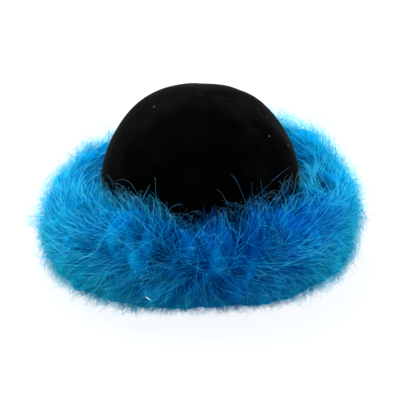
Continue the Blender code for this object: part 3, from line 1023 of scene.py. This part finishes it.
# %% The marabou's materials
def marabou(name, ramp_colours, tint_colours, through):
    """Thin dyed barbs: a colour from root to tip times a tint, and a share of it seen through.

    The mixing node's colours are its inputs 6 and 7 and its output 2."""
    made, tree = material(name)
    map_place = add(tree, "ShaderNodeUVMap", {"uv_map": "OFBake"})
    split = add(tree, "ShaderNodeSeparateXYZ", Vector=(map_place, "UV"))
    ramp = colour_ramp(tree, ramp_colours, Fac=(split, "X"))
    tint = colour_ramp(tree, tint_colours, Fac=(split, "Y"))
    mixed = add(tree, "ShaderNodeMix", {"data_type": "RGBA", "blend_type": "MULTIPLY"})
    mixed.inputs[0].default_value = 1.0
    tree.links.new(ramp.outputs["Color"], mixed.inputs[6])
    tree.links.new(tint.outputs["Color"], mixed.inputs[7])
    shader = add(
        tree,
        "ShaderNodeBsdfPrincipled",
        Base_Color=(mixed, 2),
        Roughness=0.55,
        IOR=1.54,
        Specular_IOR_Level=0.0,
    )
    glow = add(tree, "ShaderNodeBsdfTranslucent", Color=(mixed, 2))
    both = add(tree, "ShaderNodeMixShader", Fac=through)
    tree.links.new(shader.outputs["BSDF"], both.inputs[1])
    tree.links.new(glow.outputs["BSDF"], both.inputs[2])
    add(tree, "ShaderNodeOutputMaterial", Surface=(both, "Shader"))
    return made


LOOKS = {
    "barbs": marabou(
        "dyed_marabou_barbs",
        [(0.0, "#007cba"), (1.0, "#44dee8"), (0.5, "#04aad4")],
        [(0.0, "#5484e0"), (1.0, "#fffff0")],
        0.55,
    ),
    # the skirt's barbs are painted lighter and paler cyan than the others: painted light from the
    # lit floor below them
    "skirt": marabou(
        "painted_light_marabou_skirt_barbs",
        [(0.0, "#0080c4"), (1.0, "#60e4f0"), (0.5, "#10b2de")],
        [(0.0, "#6498e0"), (1.0, "#fffff0")],
        0.6,
    ),
    "long": marabou(
        "dyed_marabou_long_barbs",
        [(0.0, "#10a4d6"), (1.0, "#80e4f6"), (0.5, "#34c6e8")],
        [(0.0, "#b4d4ea"), (1.0, "#ffffff")],
        0.35,
    ),
    # the wisps are painted pale, as painted light: thin barbs against the black that catch the
    # light
    "wisp": marabou(
        "painted_light_marabou_wisps",
        [(0.0, "#1c90cc"), (1.0, "#d8f2fc"), (0.5, "#64bce8")],
        [(0.0, "#9cbccc"), (1.0, "#ffffff")],
        0.35,
    ),
    "quill": marabou(
        "undyed_quill",
        [(0.0, "#f2f6f8"), (1.0, "#ffffff")],
        [(0.0, "#e8f0f4"), (1.0, "#ffffff")],
        0.2,
    ),
}


def fluff(made):
    """Gives the matted ring of down a rough surface of 2 mm fluff."""
    tree = made.node_tree
    spot = (add(tree, "ShaderNodeTexCoord"), "Object")
    fine = add(tree, "ShaderNodeTexNoise", Vector=spot, Scale=420.0, Detail=4.0, Roughness=0.7)
    bump = add(tree, "ShaderNodeBump", Height=(fine, "Fac"), Strength=0.9, Distance=0.002)
    for node in tree.nodes:
        if node.type in ("BSDF_PRINCIPLED", "BSDF_TRANSLUCENT"):
            tree.links.new(bump.outputs["Normal"], node.inputs["Normal"])
    return made


# the ring's colour comes from its painted shading and tint: painted light and shade
LOOKS["matted"] = fluff(
    marabou(
        "matted_marabou_down_with_painted_light",
        [(0.0, "#003868"), (1.0, "#10acd0"), (0.5, "#007eb2")],
        [(0.0, "#7ca8d6"), (1.0, "#ffffff")],
        0.1,
    )
)
for made, look in finishes:
    made.data.materials.append(LOOKS[look])
print("marabou pieces:", len(finishes), "and triangles of all pieces:", sum(TRIANGLES))

# %% [markdown]
# Floor, light and camera
#
# The hat stands on plain white in a bright room: light comes from behind, from above and
# from both sides, and less of it from the front, so the front of the down is deeper in
# colour than its edges, and the barbs' tints add painted shade there too. The camera is well
# back with a long lens, about 30 degrees up.


# %% The floor
def floor():
    """A large sheet of opal acrylic lit from below, as on a light table for small goods."""
    side = 6.0
    corners = [(-side, -side, 0.0), (side, -side, 0.0), (side, side, 0.0), (-side, side, 0.0)]
    made = piece("floor", np.array(corners), [np.array([[0, 1, 2, 3]])])
    look, tree = material("lit_opal_acrylic")
    shader = add(
        tree,
        "ShaderNodeBsdfPrincipled",
        Base_Color=linear("#3a3d3f"),
        Roughness=0.9,
        Specular_IOR_Level=0.0,
        Emission_Color=linear("#f9fcff"),
        Emission_Strength=0.80,
    )
    add(tree, "ShaderNodeOutputMaterial", Surface=(shader, "BSDF"))
    made.data.materials.append(look)


floor()


# %% The light
def light(name, place, target, size, power):
    """A square soft white light that faces a target."""
    lamp = bpy.data.lights.new(name, "AREA")
    lamp.size, lamp.energy = size, power
    made = bpy.data.objects.new(name, lamp)
    bpy.context.scene.collection.objects.link(made)
    made.location = place
    facing = np.array(target, float) - np.array(place, float)
    made.rotation_euler = (
        math.atan2(math.hypot(facing[0], facing[1]), -facing[2]),
        0.0,
        math.atan2(facing[1], facing[0]) - math.pi / 2,
    )


world = bpy.data.worlds.new("white_room")
bpy.context.scene.world = world
world.use_nodes = True
tree = world.node_tree
tree.nodes.clear()
heading = add(tree, "ShaderNodeTexCoord")
split = add(tree, "ShaderNodeSeparateXYZ", Vector=(heading, "Generated"))
sky = colour_ramp(tree, [(0.03, "#e8ebee"), (0.10, "#9a9c9e")], Fac=(split, "Z"))
room = add(tree, "ShaderNodeBackground", Color=(sky, "Color"), Strength=1.0)
add(tree, "ShaderNodeOutputWorld", Surface=(room, "Background"))

LIGHT_TARGET = (0.0, 0.0, 0.08)
LIGHT_SIDE = 3.0
LIGHTS = [
    # name, place (m), power (W)
    ("overhead", (-1.0, 2.2, 3.5), 340.0),
    ("behind", (0.0, 4.0, 2.0), 330.0),
    ("left", (-3.6, 1.5, 1.1), 242.0),
    ("right", (3.6, 1.2, 1.0), 282.0),
    ("front", (0.0, -4.0, 0.9), 150.0),
]
for name, place, power in LIGHTS:
    light(name, place, LIGHT_TARGET, LIGHT_SIDE, power)
bpy.context.scene.view_settings.view_transform = "Standard"
bpy.context.scene.view_settings.look = "Medium High Contrast"

# %% The camera
CAMERA_HEIGHT_ANGLE = 30.0
CAMERA_DISTANCE = 3.0
PICTURE_PIXELS = 400.0
CROWN_PIXELS = 100.5
DOME_PIXELS_UP = 17.0
SENSOR_MM = 36.0

# the crown's edge is seen at the angle whose tangent is its radius over the line that touches it
crown_tangent = CROWN_RADIUS / math.sqrt(CAMERA_DISTANCE**2 - CROWN_RADIUS**2)
PIXELS_PER_RADIAN = CROWN_PIXELS / crown_tangent
tilt = math.radians(CAMERA_HEIGHT_ANGLE)
ahead = np.array([0.0, math.cos(tilt), -math.sin(tilt)])
above = np.array([0.0, math.sin(tilt), math.cos(tilt)])
lower = above * DOME_PIXELS_UP * CAMERA_DISTANCE / PIXELS_PER_RADIAN
target = np.array([0.0, 0.0, DOME_HEIGHT]) - lower
lens = bpy.data.cameras.new("camera")
lens.sensor_width = SENSOR_MM
lens.lens = SENSOR_MM * PIXELS_PER_RADIAN / PICTURE_PIXELS
lens.clip_end = 50.0
camera = bpy.data.objects.new("camera", lens)
camera.location = target - ahead * CAMERA_DISTANCE
camera.rotation_euler = (math.pi / 2 - tilt, 0.0, 0.0)
bpy.context.scene.collection.objects.link(camera)
bpy.context.scene.camera = camera
print("lens, mm:", round(lens.lens, 1))
